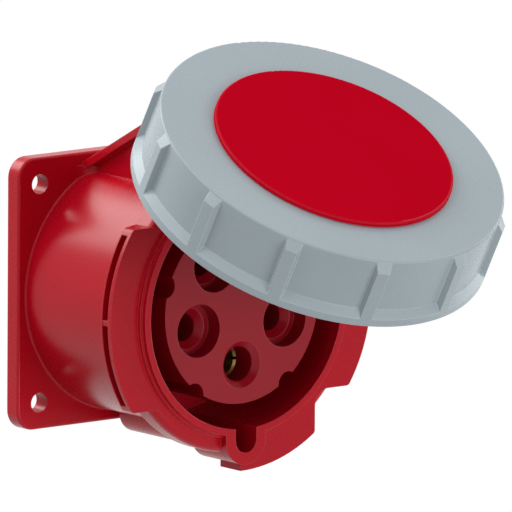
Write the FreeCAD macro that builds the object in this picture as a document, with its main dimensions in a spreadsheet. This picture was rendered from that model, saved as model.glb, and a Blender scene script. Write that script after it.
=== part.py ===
import FreeCAD, Part
import math
import os
import Sketcher
from FreeCAD import Placement, Rotation, Vector

# Five-pole industrial panel socket, 63 A size, with a hinged watertight lid and a bayonet ring.
# Millimetres. The origin is the centre of the flange's back face, which meets the panel.
# +Z is up, and the mouth faces -Y, so "forward" sizes below are distances from the panel along -Y.

doc = FreeCAD.newDocument("panel_socket")
sheet = doc.addObject("Spreadsheet::Sheet", "sizes")

SIZES = [
    # Flange
    ("flange_side", 82.0),
    ("flange_thick", 5.2),
    ("flange_corner", 6.0),
    ("flange_edge", 0.8),
    ("hole_spacing", 66.0),
    ("hole_radius", 3.0),
    ("seal_groove_inner", 35.8),
    ("seal_groove_outer", 39.0),
    ("seal_groove_deep", 2.0),
    # Barrel, from the flange to the collar
    ("barrel_wall", 2.1),
    ("barrel_foot", 0.6),
    ("cone_blend", 3.0),
    ("hub_step", 5.4),
    ("hub_round", 2.5),
    # Mouth and bores
    ("rim_front", 63.0),
    ("rim_bore", 36.0),
    ("rim_step", 0.8),
    ("rim_step_front", 61.5),
    ("web_front", 28.0),
    ("web_back", 22.0),
    ("rear_bore", 34.0),
    # Keyway at the bottom of the mouth
    ("key_width", 7.8),
    ("key_centre", 39.3),
    ("key_wall", 3.6),
    ("key_end", 30.0),
    ("key_boss_end", 46.0),
    ("keel_centre", 37.6),
    ("keel_radius", 6.6),
    ("keel_back", 10.0),
    # Collar that the ring turns on
    ("collar_front", 60.4),
    ("collar_step", 5.6),
    ("collar_edge_back", 55.8),
    ("collar_foot_back", 52.6),
    ("segment_half", 27.5),
    ("segment_corner", 1.5),
    ("notch_round", 5.0),
    ("slot_front", 59.0),
    ("slot_back", 56.3),
    ("slot_floor", 42.5),
    ("slot_half_angle", 31.5),
    ("slot_rib", 1.6),
    ("block_width", 28.0),
    ("block_deep", 9.7),
    # Hinge
    ("hinge_forward", 42.6),
    ("hinge_rise", 3.7),
    ("open_angle", 60.3),
    ("pin_radius", 1.5),
    ("pin_half", 16.6),
    ("pin_fit", 0.02),
    ("knuckle_radius", 3.8),
    ("knuckle_run", 0.08),
    ("arm_half", 9.0),
    ("cheek_gap", 0.4),
    ("bracket_half", 17.0),
    ("roof_thick", 2.2),
    ("roof_foot_up", 38.1),
    ("roof_slope", 0.534),
    ("roof_end_gap", 3.2),
    ("web_inset", 2.6),
    ("web_thick", 2.6),
    ("web_foot", 5.5),
    # Contact carrier
    ("insert_radius", 28.7),
    ("insert_gap", 0.4),
    ("insert_recess", 2.5),
    ("carrier_flange", 33.5),
    ("carrier_flange_thick", 5.0),
    ("carrier_seal_thick", 1.0),
    ("pole_pitch", 17.0),
    ("recess_radius", 8.0),
    ("recess_deep", 5.6),
    ("lead_radius", 6.2),
    ("lead_deep", 2.2),
    ("entry_radius", 4.2),
    ("earth_lead", 7.1),
    ("earth_entry", 5.25),
    ("entry_long", 8.0),
    ("earth_entry_long", 9.3),
    ("insert_flute_radius", 3.6),
    ("insert_flute_centre", 30.2),
    # Contact sleeves
    ("pin_bore", 4.03),
    ("sleeve_wall", 1.45),
    ("earth_bore", 5.03),
    ("sleeve_play", 0.35),
    ("sleeve_slot", 0.9),
    ("sleeve_slot_long", 24.0),
    ("sleeve_collar", 1.3),
    ("sleeve_collar_long", 3.0),
    ("spring_thick", 0.5),
    ("spring_long", 3.0),
    ("spring_place", 4.0),
    ("spring_gap_width", 2.0),
    ("terminal_back", 13.4),
    ("wire_bore", 3.6),
    ("wire_deep", 20.0),
    # Rear carrier and its screws
    ("back_radius", 28.9),
    ("back_end", 14.8),
    ("screw_radius", 2.4),
    ("screw_reach", 27.0),
    ("screw_access", 2.8),
    ("screw_first", 3.6),
    ("screw_second", 10.0),
    ("bolt_radius", 2.0),
    ("bolt_head", 3.6),
    ("bolt_head_thick", 2.6),
    ("bolt_deep", 14.0),
    ("fix_pitch", 31.4),
    ("fix_radius", 1.3),
    ("fix_head", 2.0),
    ("fix_head_thick", 1.8),
    ("fix_deep", 4.5),
    ("fix_angle", 45.0),
    ("thread_clear", 0.1),
    # Lid, modelled shut and then swung open about the hinge
    ("lid_front", 73.0),
    ("ring_clear", 2.3),
    ("ring_wall", 2.0),
    ("ring_foot_step", 2.0),
    ("ring_height", 22.45),
    ("ring_top", 3.0),
    ("ring_hole", 30.0),
    ("ring_ledge_low", 20.0),
    ("ring_ledge_high", 17.6),
    ("ring_edge", 0.6),
    ("rib_width", 3.9),
    ("rib_root", 5.6),
    ("rib_top", 0.7),
    ("rib_shoulder", 3.2),
    ("rib_phase", 13.5),
    ("lug_deep", 5.2),
    ("lug_angle", 18.0),
    ("lug_clock", 34.0),
    ("lug_gap", 0.45),
    ("lug_back", 51.0),
    ("boss_fit", 0.1),
    ("ring_play", 0.2),
    ("lid_play", 1.1),
    ("lid_thick", 3.9),
    ("arm_below", 0.9),
    ("arm_thick", 3.6),
    ("gasket_inner", 34.0),
    ("gasket_outer", 45.4),
    ("gasket_thick", 2.6),
    ("cap_radius", 37.0),
    ("cap_thick", 1.5),
    ("cap_edge", 0.5),
    ("cap_spigot", 14.0),
    ("cap_spigot_long", 3.0),
    ("cap_screw_pitch", 9.0),
    ("cap_screw_radius", 1.25),
    ("cap_screw_head", 2.4),
    ("cap_screw_head_thick", 1.6),
    ("cap_screw_long", 3.6),
]


class Size:
    """A length or angle: the text that binds it to the sheet, and its number for a first drawing."""

    def __init__(self, text, number):
        self.text = text
        self.number = float(number)

    def __add__(self, other):
        other = as_size(other)
        return Size(f"({self.text} + {other.text})", self.number + other.number)

    def __sub__(self, other):
        other = as_size(other)
        return Size(f"({self.text} - {other.text})", self.number - other.number)

    def __mul__(self, other):
        other = as_size(other)
        return Size(f"({self.text} * {other.text})", self.number * other.number)

    def __truediv__(self, other):
        other = as_size(other)
        return Size(f"({self.text} / {other.text})", self.number / other.number)

    def __neg__(self):
        return Size(f"(0 - {self.text})", -self.number)


def as_size(value):
    """A bare number, or a Size as it is."""
    if isinstance(value, Size):
        return value
    return Size(repr(float(value)), value)


def leg(longest, other):
    """The other short side of a right triangle, such as how far out a circle is at a given height."""
    square = longest * longest - other * other
    return Size(f"sqrt({square.text})", math.sqrt(square.number))


def hypotenuse(one, other):
    square = one * one + other * other
    return Size(f"sqrt({square.text})", math.sqrt(square.number))


def sine(angle):
    return Size(f"sin({angle.text} * 1 deg)", math.sin(math.radians(angle.number)))


def cosine(angle):
    return Size(f"cos({angle.text} * 1 deg)", math.cos(math.radians(angle.number)))


class Sheet:
    """The driving sizes by name."""


of = Sheet()
for row, (name, number) in enumerate(SIZES, start=1):
    sheet.set(f"A{row}", name)
    sheet.set(f"B{row}", str(number))
    sheet.setAlias(f"B{row}", name)
    setattr(of, name, Size(f"sizes.{name}", number))
doc.recompute()

ZERO = as_size(0.0)
SUBPARTS = []


def new_body(name):
    """An empty sub-part whose label is its node's name."""
    body = doc.addObject("PartDesign::Body", name)
    body.Label = name
    SUBPARTS.append(body)
    return body


def sketch_on(body, name, role, height=None):
    """A sketch on one of the body's own planes, raised along the plane's normal by height."""
    sketch = body.newObject("Sketcher::SketchObject", name)
    plane = [item for item in body.Origin.OriginFeatures if item.Role == role][0]
    sketch.AttachmentSupport = (plane, [""])
    sketch.MapMode = "FlatFace"
    if height is not None:
        sketch.setExpression("AttachmentOffset.Base.z", height.text)
    return sketch


def bound(sketch, kind, *where):
    """A constraint whose last argument is a Size, bound to the sheet."""
    size = where[-1]
    index = sketch.addConstraint(Sketcher.Constraint(kind, *where[:-1], size.number))
    sketch.setExpression(f"Constraints[{index}]", size.text)


def place_point(sketch, side, end, x, y):
    bound(sketch, "DistanceX", side, end, x)
    bound(sketch, "DistanceY", side, end, y)


class Bend:
    """A round side from one corner to the next, about a centre."""

    def __init__(self, radius, centre_x, centre_y, anticlockwise):
        self.radius = radius
        self.centre = Vector(as_size(centre_x).number, as_size(centre_y).number, 0)
        self.anticlockwise = anticlockwise


def draw(sketch, corners):
    """A closed outline. Each corner is (x, y), or (x, y, Bend) where the side after it is round."""
    spots = [Vector(as_size(corner[0]).number, as_size(corner[1]).number, 0) for corner in corners]
    ends = []
    for index, corner in enumerate(corners):
        start = spots[index]
        stop = spots[(index + 1) % len(spots)]
        if len(corner) == 2:
            side = sketch.addGeometry(Part.LineSegment(start, stop), False)
            ends.append((side, 1, 2))
            continue
        bend = corner[2]
        first, last = (start, stop) if bend.anticlockwise else (stop, start)
        angles = [math.atan2(spot.y - bend.centre.y, spot.x - bend.centre.x) for spot in (first, last)]
        circle = Part.Circle(bend.centre, Vector(0, 0, 1), bend.radius.number)
        side = sketch.addGeometry(Part.ArcOfCircle(circle, *angles), False)
        ends.append((side, 1, 2) if bend.anticlockwise else (side, 2, 1))
    for index, (side, start, stop) in enumerate(ends):
        following = ends[(index + 1) % len(ends)]
        sketch.addConstraint(Sketcher.Constraint("Coincident", side, stop, following[0], following[1]))
        place_point(sketch, side, start, as_size(corners[index][0]), as_size(corners[index][1]))
        if len(corners[index]) == 3:
            bound(sketch, "Radius", side, corners[index][2].radius)


def draw_circle(sketch, radius, x=ZERO, y=ZERO):
    centre = Vector(x.number, y.number, 0)
    side = sketch.addGeometry(Part.Circle(centre, Vector(0, 0, 1), radius.number), False)
    place_point(sketch, side, 3, x, y)
    bound(sketch, "Radius", side, radius)


def box_outline(left, low, right, high):
    return [(left, low), (right, low), (right, high), (left, high)]


def extrude(body, kind, sketch, length, reverse=False, both_ways=False):
    """A pad or a pocket of the sketch."""
    feature = body.newObject(f"PartDesign::{kind}", f"{sketch.Name}_{kind}")
    feature.Profile = sketch
    feature.setExpression("Length", length.text)
    feature.Reversed = reverse
    if both_ways:
        feature.SideType = "Symmetric"
    sketch.Visibility = False
    doc.recompute()
    return feature


def turn(body, kind, sketch, axis="V_Axis", angle=None, both_ways=False):
    """A revolution or a groove of the sketch about one of its axes."""
    feature = body.newObject(f"PartDesign::{kind}", f"{sketch.Name}_{kind}")
    feature.Profile = sketch
    feature.ReferenceAxis = (sketch, [axis])
    if angle is None:
        feature.Angle = 360.0
    else:
        feature.setExpression("Angle", angle.text)
    feature.Midplane = both_ways
    sketch.Visibility = False
    doc.recompute()
    return feature


def dress(body, kind, name, size, chosen):
    """A fillet or chamfer on every edge of the body's tip that the test picks."""
    doc.recompute()
    base = body.Tip
    names = [f"Edge{i}" for i, edge in enumerate(base.Shape.Edges, start=1) if chosen(edge)]
    if not names:
        raise RuntimeError(f"{body.Label} {name}: no edge to dress")
    feature = body.newObject(f"PartDesign::{kind}", name)
    feature.Base = (base, names)
    feature.setExpression("Radius" if kind == "Fillet" else "Size", size.text)
    doc.recompute()
    return feature


def repeat_round(body, name, feature, axis, count, angle=360.0):
    """Copies of features about one of the body's own axes."""
    pattern = body.newObject("PartDesign::PolarPattern", name)
    pattern.Originals = feature if isinstance(feature, list) else [feature]
    line = [item for item in body.Origin.OriginFeatures if item.Role == axis][0]
    pattern.Axis = (line, [""])
    pattern.Angle = angle
    pattern.setExpression("Occurrences", as_size(count).text)
    body.Tip = pattern
    doc.recompute()
    return pattern


def mirror(body, name, features, role):
    """Copies of features on the other side of one of the body's own planes."""
    twin = body.newObject("PartDesign::Mirrored", name)
    twin.Originals = features
    plane = [item for item in body.Origin.OriginFeatures if item.Role == role][0]
    twin.MirrorPlane = (plane, [""])
    body.Tip = twin
    doc.recompute()
    return twin


def near(value, size, slack=0.02):
    return abs(value - as_size(size).number) < slack


def is_axial(edge, x, z):
    """Whether the edge is straight along the socket's axis, through this place across it."""
    middle = edge.BoundBox.Center
    straight = edge.BoundBox.XLength < 0.01 and edge.BoundBox.ZLength < 0.01
    return straight and near(middle.x, x, 0.1) and near(middle.z, z, 0.1)


# Sizes that several pieces share
barrel_out = of.rim_bore + of.barrel_wall
hub_out = barrel_out + of.hub_step
collar_out = hub_out + of.collar_step
ring_in = collar_out + of.ring_clear
ring_out = ring_in + of.ring_wall
ring_foot = ring_out + of.ring_foot_step
lug_in = ring_in - of.lug_deep
lid_out = ring_in - of.lid_play
arm_up = lid_out - of.arm_below
hinge_high = collar_out + of.hinge_rise
collar_slope = (of.collar_edge_back - of.collar_foot_back) / (collar_out - hub_out)
key_radius = of.key_width / 2
key_boss = key_radius + of.key_wall
cheek_inner = of.arm_half + of.cheek_gap
barrel_middle = (of.rim_bore + barrel_out) / 2
cone_rise = collar_out - barrel_out
cone_run = cone_rise * collar_slope
cone_long = hypotenuse(cone_rise, cone_run)
cone_foot = of.collar_edge_back - cone_run
blend_reach = of.cone_blend * (cone_long - cone_run) / cone_rise
blend_out = blend_reach * cone_rise / cone_long
blend_along = blend_reach * cone_run / cone_long
foot_front = of.flange_thick + of.barrel_foot
insert_front = of.rim_front - of.insert_recess
carrier_flange_front = of.web_back - of.carrier_seal_thick
carrier_back_face = carrier_flange_front - of.carrier_flange_thick


def make_housing():
    """The moulded housing: flange, barrel, collar, keyway and hinge bracket in one piece."""
    body = new_body("housing")

    profile = sketch_on(body, "barrel_profile", "XY_Plane")
    draw(profile, [
        (of.rear_bore, ZERO),
        (of.rear_bore, -of.web_back),
        (of.insert_radius + of.insert_gap, -of.web_back),
        (of.insert_radius + of.insert_gap, -of.web_front),
        (of.rim_bore, -of.web_front),
        (of.rim_bore, -of.rim_front),
        (barrel_out, -of.rim_front),
        (barrel_out, -of.rim_step_front),
        (barrel_out + of.rim_step, -of.rim_step_front),
        (barrel_out + of.rim_step, -of.collar_front),
        (collar_out, -of.collar_front),
        (collar_out, -of.collar_edge_back),
        (barrel_out + blend_out, -(cone_foot + blend_along),
         Bend(of.cone_blend, barrel_out + of.cone_blend, -(cone_foot - blend_reach), False)),
        (barrel_out, -(cone_foot - blend_reach)),
        (barrel_out, -foot_front,
         Bend(of.barrel_foot, barrel_out + of.barrel_foot, -foot_front, False)),
        (barrel_out + of.barrel_foot, -of.flange_thick),
        (barrel_out + of.barrel_foot, ZERO),
    ])
    turn(body, "Revolution", profile)

    flange = sketch_on(body, "flange_outline", "XZ_Plane")
    half = of.flange_side / 2
    straight = half - of.flange_corner
    corners = []
    for across, up in ((1, -1), (1, 1), (-1, 1), (-1, -1)):
        centre = (straight * across, straight * up)
        bend = Bend(of.flange_corner, centre[0], centre[1], True)
        side_end = (half * across, straight * up)
        flat_end = (straight * across, half * up)
        first, last = (flat_end, side_end) if across * up < 0 else (side_end, flat_end)
        corners += [(first[0], first[1], bend), last]
    draw(flange, corners)
    draw_circle(flange, of.rear_bore + 1)
    extrude(body, "Pad", flange, of.flange_thick)

    front_edge = of.flange_thick
    dress(body, "Fillet", "flange_round", of.flange_edge, lambda edge: (
        near(edge.BoundBox.YMin, -front_edge) and near(edge.BoundBox.YMax, -front_edge)
        and max(abs(edge.BoundBox.Center.x), abs(edge.BoundBox.Center.z)) > straight.number))

    holes = sketch_on(body, "panel_holes", "XZ_Plane")
    for across in (-1, 1):
        for up in (-1, 1):
            draw_circle(holes, of.hole_radius, of.hole_spacing / 2 * across, of.hole_spacing / 2 * up)
    extrude(body, "Pocket", holes, of.flange_thick, reverse=True)

    seal = sketch_on(body, "seal_groove", "XZ_Plane")
    draw_circle(seal, of.seal_groove_inner)
    draw_circle(seal, of.seal_groove_outer)
    extrude(body, "Pocket", seal, of.seal_groove_deep, reverse=True)

    pilots = sketch_on(body, "carrier_pilots", "XZ_Plane", of.web_back)
    fixing_circles(pilots, of.fix_radius + of.thread_clear)
    extrude(body, "Pocket", pilots, of.fix_deep + 0.5, reverse=True)

    cut_collar_notches(body)
    cut_segment_slots(body)
    add_keyway(body)
    add_bracket(body)
    return body


def cut_collar_notches(body):
    """Three gaps in the collar: one over the top, and one each side of the block at the bottom."""
    reach = collar_out + 4
    deep = of.collar_front - of.collar_foot_back
    floor = hub_out - of.hub_round
    floor_out = leg(floor, of.segment_half)
    top = sketch_on(body, "top_notch", "XZ_Plane", of.collar_front)
    draw(top, [
        (-floor_out, of.segment_half, Bend(floor, 0, 0, False)),
        (floor_out, of.segment_half),
        (reach, of.segment_half),
        (reach, reach),
        (-reach, reach),
        (-reach, of.segment_half),
    ])
    extrude(body, "Pocket", top, deep)

    left = sketch_on(body, "left_notch", "XZ_Plane", of.collar_front)
    draw(left, [
        (-floor_out, -of.segment_half, Bend(floor, 0, 0, True)),
        (ZERO, -floor),
        (ZERO, -reach),
        (-reach, -reach),
        (-reach, -of.segment_half),
    ])
    extrude(body, "Pocket", left, deep)

    right = sketch_on(body, "right_notch", "XZ_Plane", of.collar_front)
    corner_x = of.block_width + of.notch_round
    corner_z = -(of.segment_half + of.notch_round)
    draw(right, [
        (of.block_width, -reach),
        (of.block_width, corner_z, Bend(of.notch_round, corner_x, corner_z, False)),
        (corner_x, -of.segment_half),
        (reach, -of.segment_half),
        (reach, -reach),
    ])
    extrude(body, "Pocket", right, deep)

    block = sketch_on(body, "bottom_block", "XZ_Plane", of.collar_front)
    inner = hub_out - 2
    draw(block, [
        (ZERO, -inner),
        (ZERO, -collar_out, Bend(collar_out, 0, 0, True)),
        (of.block_width, -leg(collar_out, of.block_width)),
        (of.block_width, -leg(inner, of.block_width), Bend(inner, 0, 0, False)),
    ])
    extrude(body, "Pad", block, of.block_deep, reverse=True)

    hub = sketch_on(body, "hub_front", "XY_Plane")
    back = of.collar_foot_back - 1
    draw(hub, [
        (barrel_middle, -back),
        (barrel_middle, -of.collar_front),
        (floor, -of.collar_front, Bend(of.hub_round, floor, -(of.collar_front - of.hub_round), True)),
        (hub_out, -(of.collar_front - of.hub_round)),
        (hub_out, -of.collar_foot_back),
        (hub_out - 2, -back),
    ])
    turn(body, "Revolution", hub)
    tip_out = leg(collar_out, of.segment_half)
    dress(body, "Fillet", "segment_tip_round", of.segment_corner, lambda edge: (
        is_axial(edge, -tip_out, of.segment_half) or is_axial(edge, tip_out, of.segment_half)
        or is_axial(edge, -tip_out, -of.segment_half) or is_axial(edge, tip_out, -of.segment_half)
        or is_axial(edge, of.block_width, -leg(collar_out, of.block_width))))


def cut_segment_slots(body):
    """A blind slot round the rim of each side segment, with a thin rib left across its middle."""
    slot = sketch_on(body, "segment_slot", "XY_Plane")
    outside = collar_out + 1
    draw(slot, box_outline(-outside, -of.slot_front, -of.slot_floor, -of.slot_back))
    cut = turn(body, "Groove", slot, angle=of.slot_half_angle * 2, both_ways=True)
    rib = sketch_on(body, "slot_rib", "XY_Plane")
    draw(rib, box_outline(
        -(collar_out - 0.2), -(of.slot_front + 0.2), -(of.slot_floor - 0.2), -(of.slot_back - 0.2)))
    bridge = extrude(body, "Pad", rib, of.slot_rib, both_ways=True)
    mirror(body, "slot_twin", [cut, bridge], "YZ_Plane")


def hanging_u(radius, centre, top):
    """A U on the socket's centre line, round at its lower end about a centre this far down."""
    bend = Bend(radius, 0, -centre, True)
    return [
        (-radius, top),
        (-radius, -centre, bend),
        (ZERO, -(centre + radius), bend),
        (radius, -centre),
        (radius, top),
    ]


def add_keyway(body):
    """The keyway at the bottom of the mouth, in a boss at the rim and a keel under the barrel."""
    boss = sketch_on(body, "key_boss", "XZ_Plane", of.rim_front)
    draw(boss, hanging_u(key_boss, of.key_centre, -barrel_middle))
    extrude(body, "Pad", boss, of.rim_front - of.key_boss_end, reverse=True)
    keel = sketch_on(body, "keel", "XZ_Plane", of.collar_foot_back)
    draw(keel, hanging_u(of.keel_radius, of.keel_centre, -barrel_middle))
    extrude(body, "Pad", keel, of.collar_foot_back - of.keel_back, reverse=True)
    slot = sketch_on(body, "keyway", "XZ_Plane", of.rim_front)
    draw(slot, hanging_u(key_radius, of.key_centre, -(of.rim_bore - 2)))
    extrude(body, "Pocket", slot, of.rim_front - of.key_end)


def add_bracket(body):
    """Hinge bracket: a sloping roof on two webs, ending in a pair of knuckles for the pin."""
    roof = sketch_on(body, "bracket_roof", "YZ_Plane")
    start = of.flange_thick - 0.5
    end = of.hinge_forward - of.knuckle_radius - of.roof_end_gap
    top_at_start = of.roof_foot_up - of.roof_slope / 2
    top_at_end = of.roof_foot_up + of.roof_slope * (end - of.flange_thick)
    roof_tall = of.roof_thick * hypotenuse(as_size(1.0), of.roof_slope)
    draw(roof, [
        (-start, top_at_start),
        (-end, top_at_end),
        (-end, top_at_end - roof_tall),
        (-start, top_at_start - roof_tall),
    ])
    extrude(body, "Pad", roof, of.bracket_half * 2, both_ways=True)

    cheek = sketch_on(body, "bracket_cheek", "YZ_Plane", cheek_inner)
    cheek_outer = of.bracket_half - of.web_inset + 0.6
    low = leg(barrel_out - 1, cheek_outer)
    web_back = end - 8
    top_at_back = of.roof_foot_up + of.roof_slope * (web_back - of.flange_thick)
    draw(cheek, [
        (-of.hinge_forward, hinge_high + of.knuckle_radius,
         Bend(of.knuckle_radius, -of.hinge_forward, hinge_high, True)),
        (-(of.hinge_forward + of.knuckle_radius), hinge_high),
        (-(of.hinge_forward + of.knuckle_radius), low),
        (-web_back, low),
        (-web_back, top_at_back - 0.2),
    ])
    knuckle = extrude(body, "Pad", cheek, cheek_outer - cheek_inner)

    web_outer = of.bracket_half - of.web_inset
    web_low = leg(barrel_out - 1, web_outer)
    web = sketch_on(body, "bracket_web", "YZ_Plane", web_outer - of.web_thick)
    draw(web, [
        (-start, of.roof_foot_up - 1),
        (-start, web_low),
        (-(end - 2), web_low),
        (-(end - 2), top_at_end - of.roof_thick),
    ])
    wall = extrude(body, "Pad", web, of.web_thick)
    foot_low = leg(barrel_out - 1, web_outer + of.web_foot)
    foot = sketch_on(body, "bracket_foot", "XY_Plane", foot_low)
    foot_end = of.flange_thick + of.web_foot
    draw(foot, [
        (web_outer - 1, -start),
        (web_outer + of.web_foot, -start),
        (web_outer + of.web_foot, -of.flange_thick,
         Bend(of.web_foot, web_outer + of.web_foot, -foot_end, True)),
        (web_outer, -foot_end),
        (web_outer - 1, -foot_end),
    ])
    corner = extrude(body, "Pad", foot, of.roof_foot_up - 0.9 - foot_low)
    mirror(body, "bracket_twin", [knuckle, wall, corner], "YZ_Plane")

    bore = sketch_on(body, "pin_bore", "YZ_Plane")
    draw_circle(bore, of.pin_radius + of.pin_fit, -of.hinge_forward, hinge_high)
    extrude(body, "Pocket", bore, of.bracket_half * 4, both_ways=True)


def lay(sketch, along_x, along_y, along_z, axis=None, angle=0.0):
    """Shift a sketch in its plane's own frame, and turn it about one of that frame's axes."""
    if axis is not None:
        sketch.AttachmentOffset = Placement(Vector(0, 0, 0), Rotation(axis, angle))
    for letter, size in (("x", along_x), ("y", along_y), ("z", along_z)):
        sketch.setExpression(f"AttachmentOffset.Base.{letter}", as_size(size).text)


def along_contact(body, name, clock):
    """A sketch with the contact's own axis as its first axis and its height away from the middle."""
    sketch = sketch_on(body, name, "YZ_Plane")
    place = as_size(clock)
    lay(sketch, ZERO, of.pole_pitch * cosine(place), of.pole_pitch * sine(place), Vector(1, 0, 0), clock)
    return sketch


def outward_at(body, name, clock, distance):
    """A sketch square to the line from the middle to a contact, at a distance from the middle."""
    sketch = sketch_on(body, name, "XY_Plane")
    place = as_size(clock)
    lay(sketch, distance * sine(place), ZERO, distance * cosine(place), Vector(0, 1, 0), clock)
    return sketch


# Contacts by the clock, from the top clockwise as seen from the front
CLOCK = {"l3": 36.0, "neutral": 108.0, "earth": 180.0, "l1": 252.0, "l2": 324.0}
BORES = {name: of.earth_bore if name == "earth" else of.pin_bore for name in CLOCK}
pole_cavity_front = insert_front - of.recess_deep - of.lead_deep - of.entry_long
earth_cavity_front = insert_front - of.earth_entry_long
terminal_extra = of.sleeve_wall / 2
back_seat = carrier_back_face - of.sleeve_collar_long


def sleeve_outer(bore):
    return bore + of.sleeve_wall


def cavity_radius(bore):
    return sleeve_outer(bore) + of.spring_thick + of.sleeve_play


def sleeve_front_of(name):
    """How far forward the contact's sleeve reaches: the earth's further, so that it meets its pin first."""
    return (earth_cavity_front if name == "earth" else pole_cavity_front) - of.sleeve_play


def make_contact_carrier():
    """The front insulator that the plug's pins enter."""
    body = new_body("contact_carrier")
    profile = sketch_on(body, "carrier_profile", "XY_Plane")
    draw(profile, [
        (ZERO, -carrier_back_face),
        (of.carrier_flange, -carrier_back_face),
        (of.carrier_flange, -carrier_flange_front),
        (of.insert_radius, -carrier_flange_front),
        (of.insert_radius, -insert_front),
        (ZERO, -insert_front),
    ])
    turn(body, "Revolution", profile)

    flute = sketch_on(body, "insert_flute", "XZ_Plane", insert_front)
    draw_circle(flute, of.insert_flute_radius, ZERO, of.insert_flute_centre)
    cut = extrude(body, "Pocket", flute, insert_front - carrier_flange_front)
    repeat_round(body, "insert_flutes", cut, "Y_Axis", 5)

    pole_cuts = []
    for name in ("l3", "neutral"):
        bore = along_contact(body, f"bore_{name}", CLOCK[name])
        lead = insert_front - of.recess_deep
        draw(bore, [
            (-insert_front, ZERO),
            (-carrier_back_face, ZERO),
            (-carrier_back_face, cavity_radius(of.pin_bore)),
            (-pole_cavity_front, cavity_radius(of.pin_bore)),
            (-pole_cavity_front, of.entry_radius),
            (-(lead - of.lead_deep), of.entry_radius),
            (-lead, of.lead_radius),
            (-lead, of.recess_radius),
            (-insert_front, of.recess_radius),
        ])
        pole_cuts.append(turn(body, "Groove", bore, axis="H_Axis"))
    mirror(body, "bore_twins", pole_cuts, "YZ_Plane")

    earth = along_contact(body, "bore_earth", CLOCK["earth"])
    draw(earth, [
        (-insert_front, ZERO),
        (-carrier_back_face, ZERO),
        (-carrier_back_face, cavity_radius(of.earth_bore)),
        (-earth_cavity_front, cavity_radius(of.earth_bore)),
        (-earth_cavity_front, of.earth_entry),
        (-(insert_front - (of.earth_lead - of.earth_entry)), of.earth_entry),
        (-insert_front, of.earth_lead),
    ])
    turn(body, "Groove", earth, axis="H_Axis")

    thread = sketch_on(body, "bolt_thread", "XZ_Plane", carrier_back_face)
    draw_circle(thread, of.bolt_radius + of.thread_clear)
    extrude(body, "Pocket", thread, of.bolt_deep + 1, reverse=True)

    holes = sketch_on(body, "flange_screws", "XZ_Plane", carrier_back_face)
    fixing_circles(holes, of.fix_radius + of.thread_clear * 3)
    extrude(body, "Pocket", holes, of.carrier_flange_thick, reverse=True)


def fixing_circles(sketch, radius):
    """Four circles where the carrier is screwed to the housing."""
    across = of.fix_pitch * cosine(of.fix_angle)
    for side in (-1, 1):
        for up in (-1, 1):
            draw_circle(sketch, radius, across * side, across * up)


def make_carrier_back():
    """The rear insulator that clamps the sleeves and guides the wires."""
    body = new_body("carrier_back")
    profile = sketch_on(body, "back_profile", "XY_Plane")
    draw(profile, [
        (ZERO, -carrier_back_face),
        (of.back_radius, -carrier_back_face),
        (of.back_radius, of.back_end - 1),
        (of.back_radius - 1, of.back_end),
        (ZERO, of.back_end),
    ])
    turn(body, "Revolution", profile)
    cuts = []
    for name in ("l3", "neutral"):
        cuts.append(cut_sleeve_seat(body, name, of.pin_bore))
    mirror(body, "seat_twins", cuts, "YZ_Plane")
    cut_sleeve_seat(body, "earth", of.earth_bore)

    access = outward_at(body, "screw_access", CLOCK["l3"], of.back_radius + 1)
    draw_circle(access, of.screw_access, ZERO, of.screw_first)
    draw_circle(access, of.screw_access, ZERO, of.screw_second)
    cut = extrude(body, "Pocket", access, of.back_radius + 1 - of.pole_pitch)
    repeat_round(body, "screw_accesses", cut, "Y_Axis", 5)

    head = sketch_on(body, "bolt_seat", "XZ_Plane", -of.back_end)
    draw_circle(head, of.bolt_head + 0.3)
    extrude(body, "Pocket", head, of.bolt_head_thick + 1, reverse=True)
    shank = sketch_on(body, "bolt_hole", "XZ_Plane", -of.back_end)
    draw_circle(shank, of.bolt_radius + 0.2)
    extrude(body, "Pocket", shank, of.back_end + carrier_back_face, reverse=True)


def cut_sleeve_seat(body, name, bore):
    """A through bore for the sleeve's terminal, wider at the front for its collar."""
    seat = along_contact(body, f"seat_{name}", CLOCK[name])
    collar = sleeve_outer(bore) + of.sleeve_collar + of.sleeve_play
    tail = sleeve_outer(bore) + terminal_extra + of.sleeve_play
    draw(seat, [
        (of.back_end, ZERO),
        (of.back_end, tail),
        (-back_seat, tail),
        (-back_seat, collar),
        (-carrier_back_face, collar),
        (-carrier_back_face, ZERO),
    ])
    return turn(body, "Groove", seat, axis="H_Axis")


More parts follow.
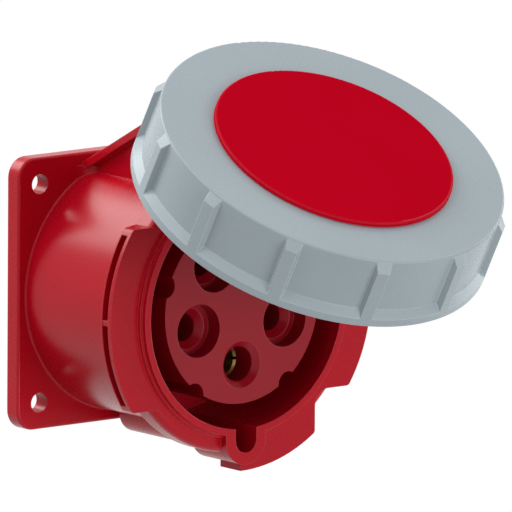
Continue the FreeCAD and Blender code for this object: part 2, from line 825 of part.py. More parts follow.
def make_sleeve(name):
    """A brass socket contact with a slit front and a screw terminal behind."""
    body = new_body(f"sleeve_{name}")
    clock = CLOCK[name]
    bore = BORES[name]
    outer = sleeve_outer(bore)
    sleeve_front = sleeve_front_of(name)
    web_front = of.wire_deep - of.terminal_back + 8
    profile = along_contact(body, f"sleeve_profile_{name}", clock)
    draw(profile, [
        (-web_front, ZERO),
        (-web_front, bore),
        (-(sleeve_front - 0.8), bore),
        (-sleeve_front, bore + 0.8),
        (-sleeve_front, outer),
        (-carrier_back_face, outer),
        (-carrier_back_face, outer + of.sleeve_collar),
        (-back_seat, outer + of.sleeve_collar),
        (-back_seat, outer + terminal_extra),
        (of.terminal_back, outer + terminal_extra),
        (of.terminal_back, of.wire_bore),
        (of.terminal_back - of.wire_deep, of.wire_bore),
        (of.terminal_back - of.wire_deep, ZERO),
    ])
    turn(body, "Revolution", profile, axis="H_Axis")

    half = of.sleeve_slot / 2
    for turned in (0, 90):
        slot = sketch_on(body, f"slot_{name}_{turned}", "YZ_Plane")
        place = as_size(clock)
        lay(slot, ZERO, of.pole_pitch * cosine(place), of.pole_pitch * sine(place),
            Vector(1, 0, 0), clock + turned)
        draw(slot, box_outline(-(sleeve_front + 1), -half, -(sleeve_front - of.sleeve_slot_long), half))
        extrude(body, "Pocket", slot, outer * 3, both_ways=True)

    thread = outward_at(body, f"terminal_thread_{name}", clock, of.pole_pitch)
    draw_circle(thread, of.screw_radius + of.thread_clear, ZERO, of.screw_first)
    draw_circle(thread, of.screw_radius + of.thread_clear, ZERO, of.screw_second)
    extrude(body, "Pocket", thread, outer + 3, reverse=True)


def make_spring(name):
    """A split ring that keeps the slit sleeve tight on the plug's pin."""
    body = new_body(f"spring_{name}")
    sketch = sketch_on(body, f"spring_outline_{name}", "XZ_Plane")
    place = as_size(CLOCK[name])
    front = sleeve_front_of(name) - of.spring_place
    lay(sketch, of.pole_pitch * sine(place), of.pole_pitch * cosine(place), front)
    inner = sleeve_outer(BORES[name]) + of.thread_clear / 2
    outer = inner + of.spring_thick
    half = of.spring_gap_width / 2
    draw(sketch, [
        (half, leg(outer, half), Bend(outer, 0, 0, False)),
        (ZERO, -outer, Bend(outer, 0, 0, False)),
        (-half, leg(outer, half)),
        (-half, leg(inner, half), Bend(inner, 0, 0, True)),
        (ZERO, -inner, Bend(inner, 0, 0, True)),
        (half, leg(inner, half)),
    ])
    extrude(body, "Pad", sketch, of.spring_long, reverse=True)


def make_terminal_screws():
    """Two grub screws for each wire, reached from the side behind the panel."""
    body = new_body("terminal_screws")
    screws = []
    start = of.pole_pitch + of.wire_bore + of.thread_clear
    for place in (of.screw_first, of.screw_second):
        profile = sketch_on(body, f"grub_{len(screws)}", "YZ_Plane")
        lay(profile, place, ZERO, ZERO, Vector(1, 0, 0), CLOCK["l3"])
        draw(profile, [
            (ZERO, start),
            (of.screw_radius - 0.6, start),
            (of.screw_radius, start + 0.6),
            (of.screw_radius, of.screw_reach - 0.3),
            (of.screw_radius - 0.3, of.screw_reach),
            (of.screw_radius * 0.55, of.screw_reach),
            (of.screw_radius * 0.55, of.screw_reach - 2),
            (ZERO, of.screw_reach - 2),
        ])
        screws.append(turn(body, "Revolution", profile))
    repeat_round(body, "grubs", screws, "Y_Axis", 5)


def make_carrier_seal():
    body = new_body("carrier_seal")
    outline = sketch_on(body, "seal_outline", "XZ_Plane", carrier_flange_front)
    draw_circle(outline, of.insert_radius + of.insert_gap + 0.1)
    draw_circle(outline, of.carrier_flange)
    fixing_circles(outline, of.fix_radius + of.thread_clear * 3)
    extrude(body, "Pad", outline, of.carrier_seal_thick)


def make_carrier_screws():
    """Four screws from behind that hold the carrier's flange against the housing's web."""
    body = new_body("carrier_screws")
    profile = sketch_on(body, "fixing_profile", "YZ_Plane")
    lay(profile, ZERO, of.fix_pitch * cosine(of.fix_angle), of.fix_pitch * sine(of.fix_angle),
        Vector(1, 0, 0), of.fix_angle.number)
    head_back = carrier_back_face - of.fix_head_thick
    draw(profile, [
        (-(of.web_back + of.fix_deep), ZERO),
        (-(of.web_back + of.fix_deep), of.fix_radius - 0.3),
        (-(of.web_back + of.fix_deep - 0.6), of.fix_radius),
        (-carrier_back_face, of.fix_radius),
        (-carrier_back_face, of.fix_head),
        (-head_back, of.fix_head - 0.2),
        (-head_back, of.fix_radius * 0.6),
        (-(head_back + 1), ZERO),
    ])
    screw = turn(body, "Revolution", profile, axis="H_Axis")
    repeat_round(body, "fixings", screw, "Y_Axis", 4)


def make_carrier_bolt():
    body = new_body("carrier_bolt")
    profile = sketch_on(body, "bolt_profile", "XY_Plane")
    head_front = of.back_end - of.bolt_head_thick - 1
    draw(profile, [
        (ZERO, -(carrier_back_face + of.bolt_deep)),
        (of.bolt_radius - 0.5, -(carrier_back_face + of.bolt_deep)),
        (of.bolt_radius, -(carrier_back_face + of.bolt_deep - 0.8)),
        (of.bolt_radius, head_front),
        (of.bolt_head, head_front),
        (of.bolt_head, head_front + of.bolt_head_thick - 0.4),
        (of.bolt_head - 0.4, head_front + of.bolt_head_thick),
        (of.bolt_radius * 0.75, head_front + of.bolt_head_thick),
        (of.bolt_radius * 0.75, head_front + 1),
        (ZERO, head_front + 1),
    ])
    turn(body, "Revolution", profile)


def make_flange_gasket():
    """The seal in the groove of the flange's back, shown pressed flush by the panel."""
    body = new_body("flange_gasket")
    outline = sketch_on(body, "gasket_outline", "XZ_Plane")
    draw_circle(outline, of.seal_groove_inner + 0.1)
    draw_circle(outline, of.seal_groove_outer - 0.1)
    extrude(body, "Pad", outline, of.seal_groove_deep)


def make_hinge_pin():
    body = new_body("hinge_pin")
    profile = sketch_on(body, "pin_profile", "XY_Plane")
    lay(profile, ZERO, -of.hinge_forward, hinge_high)
    draw(profile, [
        (-of.pin_half, ZERO),
        (of.pin_half, ZERO),
        (of.pin_half, of.pin_radius - 0.3),
        (of.pin_half - 0.3, of.pin_radius),
        (-(of.pin_half - 0.3), of.pin_radius),
        (-of.pin_half, of.pin_radius - 0.3),
    ])
    turn(body, "Revolution", profile, axis="H_Axis")


# The lid's pieces are drawn shut, in the same frame as the socket, then swung open about the pin.
plate_front = of.lid_front - of.ring_top - of.ring_play
plate_back = plate_front - of.lid_thick
boss_front = of.lid_front + of.ring_play
spigot_seat = boss_front - of.cap_spigot_long
screw_seat = plate_back + of.cap_screw_head_thick + 0.1


def swing_open(body):
    """Turn a lid piece from shut to its open position about the hinge pin."""
    body.Placement = Placement(Vector(0, 0, 0), Rotation(Vector(-1, 0, 0), of.open_angle.number))
    across, up = cosine(of.open_angle), sine(of.open_angle)
    forward = of.hinge_forward * across - of.hinge_forward - hinge_high * up
    rise = hinge_high - of.hinge_forward * up - hinge_high * across
    body.setExpression("Placement.Base.y", forward.text)
    body.setExpression("Placement.Base.z", rise.text)
    body.setExpression("Placement.Rotation.Angle", of.open_angle.text)


def make_lid():
    """The lid plate, with a boss that the ring turns on and an arm to the hinge."""
    body = new_body("lid")
    profile = sketch_on(body, "lid_profile", "XY_Plane")
    boss = of.ring_hole - of.boss_fit
    draw(profile, [
        (ZERO, -plate_back),
        (lid_out, -plate_back),
        (lid_out, -(plate_front - 0.5)),
        (lid_out - 0.5, -plate_front),
        (boss, -plate_front),
        (boss, -boss_front),
        (of.cap_spigot + 0.1, -boss_front),
        (of.cap_spigot + 0.1, -(spigot_seat - 0.1)),
        (ZERO, -(spigot_seat - 0.1)),
    ])
    turn(body, "Revolution", profile)

    arm = sketch_on(body, "lid_arm", "YZ_Plane")
    low = arm_up - of.arm_thick
    curl = of.knuckle_radius
    bend = Bend(curl, -of.hinge_forward, hinge_high, False)
    draw(arm, [
        (-(plate_back + 1), low),
        (-(plate_back + 1), arm_up),
        (-(of.hinge_forward + curl), arm_up),
        (-(of.hinge_forward + curl), hinge_high, bend),
        (-of.hinge_forward, hinge_high + curl, bend),
        (-(of.hinge_forward - curl), hinge_high),
        (-(of.hinge_forward - curl), arm_up),
        (-of.hinge_forward, low),
    ])
    extrude(body, "Pad", arm, of.arm_half * 2, both_ways=True)
    bore = sketch_on(body, "arm_bore", "YZ_Plane")
    draw_circle(bore, of.pin_radius + of.knuckle_run, -of.hinge_forward, hinge_high)
    extrude(body, "Pocket", bore, of.arm_half * 3, both_ways=True)

    heads = sketch_on(body, "cap_screw_seats", "XZ_Plane", plate_back)
    draw_circle(heads, of.cap_screw_head + 0.2, ZERO, of.cap_screw_pitch)
    seat = extrude(body, "Pocket", heads, screw_seat - plate_back, reverse=True)
    shanks = sketch_on(body, "cap_screw_holes", "XZ_Plane", plate_back)
    draw_circle(shanks, of.cap_screw_radius + 0.2, ZERO, of.cap_screw_pitch)
    hole = extrude(body, "Pocket", shanks, boss_front - plate_back, reverse=True)
    repeat_round(body, "cap_screw_places", [seat, hole], "Y_Axis", 3)
    swing_open(body)


def make_lid_gasket():
    """The soft ring under the lid that meets the socket's rim."""
    body = new_body("lid_gasket")
    profile = sketch_on(body, "lid_gasket_profile", "XY_Plane")
    rear = plate_back - of.gasket_thick
    draw(profile, [
        (of.gasket_inner, -plate_back),
        (of.gasket_inner, -(rear + 0.5)),
        (of.gasket_inner + 0.5, -rear),
        (of.gasket_outer - 0.5, -rear),
        (of.gasket_outer, -(rear + 0.5)),
        (of.gasket_outer, -plate_back),
    ])
    turn(body, "Revolution", profile)
    swing_open(body)


def make_lid_cap():
    """The coloured disc that holds the ring on the lid's boss."""
    body = new_body("lid_cap")
    profile = sketch_on(body, "cap_profile", "XY_Plane")
    cap_front = boss_front + of.cap_thick
    draw(profile, [
        (ZERO, -spigot_seat),
        (of.cap_spigot, -spigot_seat),
        (of.cap_spigot, -boss_front),
        (of.cap_radius, -boss_front),
        (of.cap_radius, -(cap_front - of.cap_edge),
         Bend(of.cap_edge, of.cap_radius - of.cap_edge, -(cap_front - of.cap_edge), False)),
        (of.cap_radius - of.cap_edge, -cap_front),
        (ZERO, -cap_front),
    ])
    turn(body, "Revolution", profile)
    pilots = sketch_on(body, "cap_pilots", "XZ_Plane", spigot_seat)
    draw_circle(pilots, of.cap_screw_radius + of.thread_clear, ZERO, of.cap_screw_pitch)
    cut = extrude(body, "Pocket", pilots, of.cap_screw_long, reverse=True)
    repeat_round(body, "cap_pilot_places", cut, "Y_Axis", 3)
    swing_open(body)


def make_lid_cap_screws():
    body = new_body("lid_cap_screws")
    profile = sketch_on(body, "cap_screw_profile", "YZ_Plane")
    lay(profile, ZERO, of.cap_screw_pitch, ZERO)
    tip = spigot_seat + of.cap_screw_long - 0.3
    head_back = screw_seat - of.cap_screw_head_thick
    draw(profile, [
        (-tip, ZERO),
        (-(tip - 0.6), of.cap_screw_radius),
        (-screw_seat, of.cap_screw_radius),
        (-screw_seat, of.cap_screw_head),
        (-head_back, of.cap_screw_head - 0.3),
        (-head_back, of.cap_screw_radius * 0.6),
        (-(head_back + 1), ZERO),
    ])
    screw = turn(body, "Revolution", profile, axis="H_Axis")
    repeat_round(body, "cap_screws", screw, "Y_Axis", 3)
    swing_open(body)


def make_bayonet_ring():
    """The grip ring that turns on the lid and hooks its two lugs behind the collar."""
    body = new_body("bayonet_ring")
    profile = sketch_on(body, "ring_profile", "XY_Plane")
    rear = of.lid_front - of.ring_height
    ledge_low = of.lid_front - of.ring_ledge_low
    ledge_high = of.lid_front - of.ring_ledge_high
    draw(profile, [
        (of.ring_hole, -(of.lid_front - of.ring_top)),
        (ring_in, -(of.lid_front - of.ring_top)),
        (ring_in, -rear),
        (ring_foot, -rear),
        (ring_foot, -ledge_low),
        (ring_out, -ledge_high),
        (ring_out, -(of.lid_front - of.ring_edge),
         Bend(of.ring_edge, ring_out - of.ring_edge, -(of.lid_front - of.ring_edge), False)),
        (ring_out - of.ring_edge, -of.lid_front),
        (of.ring_hole, -of.lid_front),
    ])
    turn(body, "Revolution", profile)

    rib = sketch_on(body, "grip_rib", "XZ_Plane")
    rib_back = ledge_low - 0.2
    lay(rib, ZERO, ZERO, rib_back, Vector(0, 0, 1), of.rib_phase.number)
    rib.setExpression("AttachmentOffset.Rotation.Angle", of.rib_phase.text)
    root = ring_out - 1
    root_half = of.rib_root / 2
    crest_half = of.rib_width / 2
    crest = leg(ring_foot, crest_half)
    draw(rib, [
        (-root_half, -root),
        (-crest_half, -crest, Bend(ring_foot, 0, 0, True)),
        (crest_half, -crest),
        (root_half, -root),
    ])
    grip = extrude(body, "Pad", rib, of.lid_front - of.rib_top - rib_back)
    repeat_round(body, "grip_ribs", grip, "Y_Axis", 12)
    facet = sketch_on(body, "rib_facets", "XY_Plane")
    draw(facet, [
        (ring_out, -(of.lid_front - of.rib_top)),
        (ring_foot + 1, -(of.lid_front - of.rib_top)),
        (ring_foot + 1, -(of.lid_front - of.rib_shoulder)),
        (ring_foot, -(of.lid_front - of.rib_shoulder)),
    ])
    turn(body, "Groove", facet)

    lug = sketch_on(body, "ring_lug", "YZ_Plane")
    lay(lug, ZERO, ZERO, ZERO, Vector(1, 0, 0), of.lug_clock.number)
    lug.setExpression("AttachmentOffset.Rotation.Angle", of.lug_clock.text)
    buried = ring_in + 0.5
    front_inner = of.collar_foot_back + collar_slope * (lug_in - hub_out) - of.lug_gap
    front_outer = of.collar_foot_back + collar_slope * (buried - hub_out) - of.lug_gap
    draw(lug, [
        (-of.lug_back, lug_in),
        (-of.lug_back, buried),
        (-front_outer, buried),
        (-front_inner, lug_in),
    ])
    hook = turn(body, "Revolution", lug, axis="H_Axis", angle=of.lug_angle, both_ways=True)
    repeat_round(body, "ring_lugs", hook, "Y_Axis", 2)
    swing_open(body)


make_housing()
make_flange_gasket()
make_contact_carrier()
make_carrier_back()
make_carrier_seal()
for contact in CLOCK:
    make_sleeve(contact)
    make_spring(contact)
make_terminal_screws()
make_carrier_screws()
make_carrier_bolt()
make_hinge_pin()
make_lid()
make_lid_gasket()
make_lid_cap()
make_lid_cap_screws()
make_bayonet_ring()

doc.recompute()
for item in doc.Objects:
    if {"Invalid", "Error"} & set(item.State):
        raise RuntimeError(f"{item.Name} did not build")

os.makedirs("parts", exist_ok=True)
for body in SUBPARTS:
    shape = body.Shape
    if shape.isNull() or not shape.isValid():
        raise RuntimeError(f"{body.Label} has no valid shape")
    shape.exportStep(f"parts/{body.Label}.step")
    size = shape.BoundBox
    print(body.Label, len(shape.Solids), round(shape.Volume, 1),
          [round(v, 2) for v in (size.XMin, size.XMax, size.YMin, size.YMax, size.ZMin, size.ZMax)])
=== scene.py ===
# %% [markdown]
# An industrial panel socket with its lid swung open. The solids come from the CAD model and are never
# moved or changed here. This script gives them their plastics, rubber and metals, and sets up a plain
# studio with the photograph's camera. Every length is in metres unless a name says otherwise.

# %% Load the frame
import math
import bmesh
import bpy
from mathutils import Matrix, Vector

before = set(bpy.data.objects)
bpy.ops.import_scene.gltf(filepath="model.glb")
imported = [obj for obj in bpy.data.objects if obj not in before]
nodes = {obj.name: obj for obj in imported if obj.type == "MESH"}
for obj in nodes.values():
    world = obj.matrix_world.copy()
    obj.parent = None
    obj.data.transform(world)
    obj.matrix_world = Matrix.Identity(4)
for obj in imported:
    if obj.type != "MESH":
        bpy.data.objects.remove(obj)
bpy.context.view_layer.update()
scene = bpy.context.scene
print("CAD nodes:", len(nodes))

# %% [markdown]
# Colours are written as sRGB hex values, the way a colour picker shows them. Blender's shaders work in
# linear light, so one function converts them, and one small function adds a node with its settings and its
# links. Every material below is built with these two. A Mix node keeps a socket for each kind of value
# under the same name, so its two colours and its result are called by their places in its list.

# %% Colours and nodes
MIX_FIRST, MIX_SECOND, MIX_RESULT = 6, 7, 2


def linear(hex_colour):
    """An sRGB hex colour as linear RGBA."""
    parts = [int(hex_colour[i:i + 2], 16) / 255 for i in (1, 3, 5)]
    return [p / 12.92 if p <= 0.04045 else ((p + 0.055) / 1.055) ** 2.4 for p in parts] + [1.0]


def add(tree, kind, settings=None, **links):
    """A new node. settings are its own properties; links are its sockets' values or sources."""
    node = tree.nodes.new(kind)
    for name, value in (settings or {}).items():
        setattr(node, name, value)
    for name, value in links.items():
        socket = node.inputs[name.replace("_", " ")]
        if isinstance(value, bpy.types.NodeSocket):
            tree.links.new(value, socket)
        else:
            socket.default_value = value
    return node


print("mid grey #808080 in linear light:", round(linear("#808080")[0], 3))

# %% [markdown]
# The housing, the contact carrier, the lid and its ring are injection-moulded polyamide. The mould is
# polished and then lightly spark-eroded, so the plastic is glossy enough to mirror the flange in the barrel,
# but softly. The eroded grain is about a tenth of a millimetre, which is lost at this picture's scale, so it
# is drawn at 0.35 mm, in the gloss and as a relief of a few thousandths of a millimetre. A slow change of
# tone over some 35 mm stands for the flow of the melt.
#
# No moulded edge is knife sharp: the Bevel node rounds each edge's shading by a third of a millimetre. Where
# the rounded direction leaves the face's own, the colour is mixed towards a paler edge colour: this is a
# painted highlight, which gives the thin light lines along the edges. The dot product of the two directions
# is the cosine of the angle between them, so it drops below 1 only there. Rounding the mesh itself would also
# work, but the CAD mesh stays as it is.

# %% Moulded plastic
EDGE_ROUND = 0.00035
EDGE_SAMPLES = 6
EDGE_HIGHLIGHT = 0.8
HIGHLIGHT_COSINE, PLAIN_COSINE = 0.90, 0.995
MELT_FLOW = 0.035
FLOW_LOW, FLOW_HIGH = 0.35, 0.65
SPARK_GRAIN = 0.00035
GRAIN_LOW, GRAIN_HIGH = 0.3, 0.7
GRAIN_DEEP = 0.0000025
GRAIN_RELIEF = 0.5
GLOSS_SPREAD = 0.03
POLYAMIDE_IOR = 1.53


def moulded_plastic(name, colour, deep, edge_highlight_colour, roughness, specular, edge_round=EDGE_ROUND):
    """Polyamide from a mould: colour in the open, deep where the melt ran thin, with a painted highlight
    along its edges.
    """
    material = bpy.data.materials.new(name)
    material.use_nodes = True
    tree = material.node_tree
    shader = tree.nodes["Principled BSDF"]
    place = add(tree, "ShaderNodeTexCoord").outputs["Object"]
    flow = add(tree, "ShaderNodeTexNoise", Vector=place, Scale=1 / MELT_FLOW, Detail=3.0, Roughness=0.5)
    tone = add(tree, "ShaderNodeMapRange", Value=flow.outputs["Fac"],
               From_Min=FLOW_LOW, From_Max=FLOW_HIGH, To_Min=0.0, To_Max=1.0)
    melt = add(tree, "ShaderNodeMix", {"data_type": "RGBA"}, Factor=tone.outputs["Result"])
    melt.inputs[MIX_FIRST].default_value = linear(colour)
    melt.inputs[MIX_SECOND].default_value = linear(deep)
    edge = add(tree, "ShaderNodeBevel", {"samples": EDGE_SAMPLES}, Radius=edge_round)
    face = add(tree, "ShaderNodeNewGeometry")
    turned = add(tree, "ShaderNodeVectorMath", {"operation": "DOT_PRODUCT"})
    tree.links.new(edge.outputs["Normal"], turned.inputs[0])
    tree.links.new(face.outputs["Normal"], turned.inputs[1])
    # This mask and the mix below paint a highlight: the paler edge colour goes in where the edge turns.
    highlight_mask = add(tree, "ShaderNodeMapRange", Value=turned.outputs["Value"],
               From_Min=HIGHLIGHT_COSINE, From_Max=PLAIN_COSINE, To_Min=EDGE_HIGHLIGHT, To_Max=0.0)
    highlighted = add(tree, "ShaderNodeMix", {"data_type": "RGBA"}, Factor=highlight_mask.outputs["Result"])
    tree.links.new(melt.outputs[MIX_RESULT], highlighted.inputs[MIX_FIRST])
    highlighted.inputs[MIX_SECOND].default_value = linear(edge_highlight_colour)
    tree.links.new(highlighted.outputs[MIX_RESULT], shader.inputs["Base Color"])
    grain = add(tree, "ShaderNodeTexNoise", Vector=place, Scale=1 / SPARK_GRAIN, Detail=2.0, Roughness=0.6)
    gloss = add(tree, "ShaderNodeMapRange", Value=grain.outputs["Fac"], From_Min=GRAIN_LOW,
                From_Max=GRAIN_HIGH, To_Min=roughness - GLOSS_SPREAD, To_Max=roughness + GLOSS_SPREAD)
    tree.links.new(gloss.outputs["Result"], shader.inputs["Roughness"])
    relief = add(tree, "ShaderNodeBump", Strength=GRAIN_RELIEF, Distance=GRAIN_DEEP,
                 Height=grain.outputs["Fac"], Normal=edge.outputs["Normal"])
    tree.links.new(relief.outputs["Normal"], shader.inputs["Normal"])
    shader.inputs["IOR"].default_value = POLYAMIDE_IOR
    shader.inputs["Specular IOR Level"].default_value = specular
    return material


print("moulded plastic: grain", SPARK_GRAIN * 1000, "mm, edges", EDGE_ROUND * 1000, "mm")

# %% [markdown]
# Six mouldings, six surfaces. The housing comes from the glossiest mould and the contact carrier, deep in
# its mouth, from a satin one, in a darker red that is painted shade for its place under the lid. The lid and
# the ring are the same grey, but the ring, which a hand turns, is glossier and its painted edge highlight is
# almost white. The rear insulator is dark grey. The disc on the lid is finely matt and shows no gloss, and
# its edge is rounded more widely than the others, which also widens its painted highlight line. The specular
# levels are low because this room is white all round: at the usual 0.5 its reflection would lie over the reds
# like a veil.

# %% The six plastics
# Each edge colour below is a painted highlight along the edges; the disc's wider edge rounding also widens
# its painted highlight line.
DISC_EDGE_ROUND = 0.0006
housing_red = moulded_plastic(
    "red polyamide, glossy mould", colour="#BD051F", deep="#B5051C", edge_highlight_colour="#C93A44",
    roughness=0.27, specular=0.2)
# The carrier's red is darker than the housing's as painted shade for its place under the lid, deep in the
# mouth; its satin gloss is its own.
insert_shaded_red = moulded_plastic(
    "red polyamide, satin mould, painted shade", colour="#9A061C", deep="#940619", edge_highlight_colour="#B03038",
    roughness=0.34, specular=0.25)
lid_grey = moulded_plastic(
    "grey polyamide, satin mould", colour="#A6B4BC", deep="#A2B0B8", edge_highlight_colour="#CBD4D8",
    roughness=0.36, specular=0.25)
ring_grey = moulded_plastic(
    "grey polyamide, grip mould", colour="#A6B3B9", deep="#A3B0B6", edge_highlight_colour="#DCE1E3",
    roughness=0.28, specular=0.27)
back_grey = moulded_plastic(
    "dark polyamide, satin mould", colour="#4B4E52", deep="#444749", edge_highlight_colour="#5C6064",
    roughness=0.42, specular=0.35)
cap_red = moulded_plastic(
    "red polyamide, fine matt mould", colour="#C10520", deep="#BE051F", edge_highlight_colour="#E8838A",
    roughness=0.5, specular=0.0, edge_round=DISC_EDGE_ROUND)
plastics = (housing_red, insert_shaded_red, lid_grey, ring_grey, back_grey, cap_red)
print("moulded plastics:", [plastic.name for plastic in plastics])

# %% [markdown]
# The seals are moulded chloroprene, nearly black with a dull bloom. The contacts are turned brass, their
# springs are rolled spring steel, the hinge's pin is ground stainless steel and the screws are zinc-plated
# steel. Turning leaves fine rings about the axis and plating a faint mottle, both too fine to show here, so a
# noise of half a millimetre to a millimetre in the roughness stands for them. A metal keeps the default IOR;
# its colour is its reflection.

# %% Rubber and metals


def plain_surface(name, colour, roughness, metallic, grain_mm, spread):
    """A surface whose roughness varies with a grain of the given size."""
    material = bpy.data.materials.new(name)
    material.use_nodes = True
    tree = material.node_tree
    shader = tree.nodes["Principled BSDF"]
    place = add(tree, "ShaderNodeTexCoord").outputs["Object"]
    grain = add(tree, "ShaderNodeTexNoise", Vector=place, Scale=1000.0 / grain_mm, Detail=3.0)
    gloss = add(tree, "ShaderNodeMapRange", Value=grain.outputs["Fac"], From_Min=GRAIN_LOW,
                From_Max=GRAIN_HIGH, To_Min=roughness - spread, To_Max=roughness + spread)
    tree.links.new(gloss.outputs["Result"], shader.inputs["Roughness"])
    shader.inputs["Base Color"].default_value = linear(colour)
    shader.inputs["Metallic"].default_value = metallic
    return material


seal_black = plain_surface("chloroprene rubber, moulded", "#1B1C1D", roughness=0.62, metallic=0.0,
                           grain_mm=0.8, spread=0.08)
contact_brass = plain_surface("brass, turned", "#BFA765", roughness=0.34, metallic=1.0,
                              grain_mm=0.6, spread=0.08)
spring_steel = plain_surface("spring steel, rolled", "#9FA2A6", roughness=0.30, metallic=1.0,
                             grain_mm=0.6, spread=0.06)
screw_zinc = plain_surface("steel, zinc plated", "#B9BBBE", roughness=0.34, metallic=1.0,
                           grain_mm=0.9, spread=0.08)
pin_steel = plain_surface("stainless steel, ground", "#B4B5B7", roughness=0.25, metallic=1.0,
                          grain_mm=0.5, spread=0.05)
fittings = (seal_black, contact_brass, spring_steel, screw_zinc, pin_steel)
print("rubber and metals:", [fitting.name for fitting in fittings])

# %% [markdown]
# Every CAD node keeps its solid and only changes its material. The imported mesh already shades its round
# walls as one and keeps its real edges, so nothing else is needed.

# %% Dress the CAD nodes
finish_of = {
    "housing": housing_red, "contact_carrier": insert_shaded_red, "carrier_back": back_grey,
    "lid": lid_grey, "bayonet_ring": ring_grey, "lid_cap": cap_red,
    "flange_gasket": seal_black, "carrier_seal": seal_black, "lid_gasket": seal_black,
    "terminal_screws": screw_zinc, "carrier_screws": screw_zinc, "carrier_bolt": screw_zinc,
    "lid_cap_screws": screw_zinc, "hinge_pin": pin_steel,
}
for contact in ("earth", "neutral", "l1", "l2", "l3"):
    finish_of["sleeve_" + contact] = contact_brass
    finish_of["spring_" + contact] = spring_steel
for name, node in nodes.items():
    node.data.materials.clear()
    node.data.materials.append(finish_of[name])
print("dressed:", len(finish_of))

# %% [markdown]
# The camera stands far off and slightly above, to the left of the mouth, so that lines stay nearly
# parallel as in the photograph. Its place comes from the photograph's circles: it looks along a direction,
# from a distance, at a point of the object. Its focal length is first given in pixels of a picture 512 wide,
# and the lens follows from the sensor's width. TURN, LIFT and ROLL are in radians.

# %% Camera
TURN = 0.666
LIFT = 0.170
ROLL = 0.006
DISTANCE = 7.356
FOCAL_PIXELS = 24555.0
PICTURE_PIXELS = 512
SENSOR_MM = 36.0
TARGET = Vector((0.05281, 0.0, 0.00192))
look = Vector((math.sin(TURN) * math.cos(LIFT), math.cos(TURN) * math.cos(LIFT), -math.sin(LIFT)))
camera = bpy.data.objects.new("camera", bpy.data.cameras.new("camera"))
scene.collection.objects.link(camera)
camera.location = TARGET - look * DISTANCE
camera.rotation_euler = (look.to_track_quat("-Z", "Y").to_matrix() @ Matrix.Rotation(ROLL, 3, "Z")).to_euler()
camera.data.sensor_width = SENSOR_MM
camera.data.lens = FOCAL_PIXELS / PICTURE_PIXELS * SENSOR_MM
camera.data.clip_start = 0.1
camera.data.clip_end = 100.0
scene.camera = camera
print("camera:", round(math.degrees(TURN), 1), "degrees round,", round(math.degrees(LIFT), 1),
      "degrees up,", DISTANCE, "m off, lens", round(camera.data.lens), "mm")

# %% [markdown]
# The studio is a plain white room with soft light. The world and the floor are white to the camera and in
# reflections, and grey for the light that they throw, so the shaded sides stay darker than the lit ones. A
# room that also threw white light would wash the reds out. Light Path tells the rays apart, and two small
# functions put it to use for the world and the floor alike.

# %% White to look at, grey as a light


def seen_directly(tree):
    """1 for rays from the camera, from a reflection or through glass, 0 for the rest."""
    path = add(tree, "ShaderNodeLightPath")
    first = add(tree, "ShaderNodeMath", {"operation": "MAXIMUM"})
    tree.links.new(path.outputs["Is Camera Ray"], first.inputs[0])
    tree.links.new(path.outputs["Is Glossy Ray"], first.inputs[1])
    either = add(tree, "ShaderNodeMath", {"operation": "MAXIMUM"})
    tree.links.new(first.outputs[0], either.inputs[0])
    tree.links.new(path.outputs["Is Transmission Ray"], either.inputs[1])
    return either.outputs[0]


def chosen_by_ray(tree, thrown, seen, output_kind):
    """Ends a tree in two shaders: thrown for the light that it gives off, seen for what is seen directly."""
    both = add(tree, "ShaderNodeMixShader", Fac=seen_directly(tree))
    tree.links.new(thrown.outputs[0], both.inputs[1])
    tree.links.new(seen.outputs[0], both.inputs[2])
    add(tree, output_kind, Surface=both.outputs[0])


# %% [markdown]
# The world stands for the room's walls and ceiling. At a strength of 1 it is white to look at, and at half
# of that it fills the shadows evenly from all sides. The Standard view shows each colour as it is written.

# %% World
ROOM_SEEN = 1.0
ROOM_LIGHT = 0.5
scene.view_settings.view_transform = "Standard"
world = bpy.data.worlds.new("studio")
scene.world = world
world.use_nodes = True
tree = world.node_tree
tree.nodes.clear()
bright = add(tree, "ShaderNodeBackground", Color=linear("#FFFFFF"), Strength=ROOM_SEEN)
dim = add(tree, "ShaderNodeBackground", Color=linear("#FFFFFF"), Strength=ROOM_LIGHT)
chosen_by_ray(tree, dim, bright, "ShaderNodeOutputWorld")
print("world: strength", ROOM_SEEN, "to look at,", ROOM_LIGHT, "as a light")

# %% [markdown]
# The floor lies half a metre down: the socket hangs in the picture as it does in the photograph, and its
# soft shadow falls below the frame. Seen directly, the floor is its own glow, just short of white, and a
# grey paint that adds the rest and takes the shadow. As a light it is a paler grey paint alone.

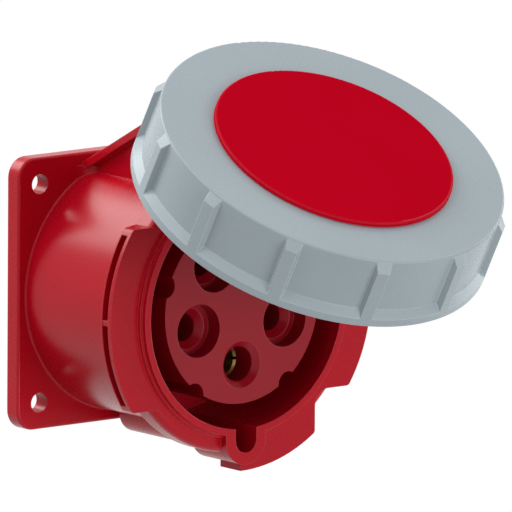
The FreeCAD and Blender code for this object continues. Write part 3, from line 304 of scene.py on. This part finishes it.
# %% Floor
FLOOR_DOWN = 0.5
FLOOR_HALF = 8.0
FLOOR_GLOW = 0.9
paint = bpy.data.materials.new("white studio paint")
paint.use_nodes = True
tree = paint.node_tree
tree.nodes.clear()
glow = add(tree, "ShaderNodeEmission", Color=linear("#FFFFFF"), Strength=FLOOR_GLOW)
pale = add(tree, "ShaderNodeBsdfDiffuse", Color=linear("#7C7C7C"))
white = add(tree, "ShaderNodeAddShader")
tree.links.new(glow.outputs[0], white.inputs[0])
tree.links.new(pale.outputs[0], white.inputs[1])
grey = add(tree, "ShaderNodeBsdfDiffuse", Color=linear("#A8A8A8"))
chosen_by_ray(tree, grey, white, "ShaderNodeOutputMaterial")

shape = bmesh.new()
bmesh.ops.create_grid(shape, x_segments=1, y_segments=1, size=FLOOR_HALF)
bmesh.ops.translate(shape, verts=shape.verts, vec=(0, 0, -FLOOR_DOWN))
mesh = bpy.data.meshes.new("floor")
shape.to_mesh(mesh)
shape.free()
mesh.materials.append(paint)
floor = bpy.data.objects.new("floor", mesh)
scene.collection.objects.link(floor)
print("floor:", FLOOR_DOWN, "m below the socket's axis")

# %% [markdown]
# Four soft lamps and a small one shape the object. The photograph's barrel mirrors a broad light behind it,
# high on the left, with its lower edge about 23 degrees up: that is the rim lamp. A second lamp on the left
# brightens that side of the ring. A low one in front reaches under the lid to the collar and the contacts,
# while the collar keeps it off the flange, which stays darker, and a weaker one opens up the right side. A
# small one over the camera adds little light, but draws the thin glints along the ring's rounded edges.
#
# A lamp's place is given by its turn from +X towards +Y and its height, both in degrees, and by its distance
# from the point that all of them face. Its power is in watts.

# %% Lamps
AIM = Vector((0.0, -0.05, 0.02))


def lamp(name, turn, height, distance, width, tall, power):
    """A soft rectangular lamp that faces the socket."""
    light = bpy.data.lights.new(name, "AREA")
    light.shape = "RECTANGLE"
    light.size = width
    light.size_y = tall
    light.energy = power
    item = bpy.data.objects.new(name, light)
    scene.collection.objects.link(item)
    turn, height = math.radians(turn), math.radians(height)
    way = Vector((math.cos(turn) * math.cos(height), math.sin(turn) * math.cos(height), math.sin(height)))
    item.location = AIM + way * distance
    item.rotation_euler = (-way).to_track_quat("-Z", "Y").to_euler()
    print(name, "at", [round(v, 2) for v in item.location], power, "W")


lamp("rim", turn=113, height=37, distance=1.0, width=0.66, tall=0.47, power=5.9)
lamp("left", turn=170, height=45, distance=1.1, width=0.8, tall=0.8, power=4.0)
lamp("front", turn=273, height=-8, distance=1.2, width=0.7, tall=0.7, power=5.4)
lamp("right", turn=350, height=10, distance=1.2, width=0.8, tall=0.8, power=4.6)
lamp("glint", turn=250, height=48, distance=1.2, width=0.12, tall=0.12, power=0.6)
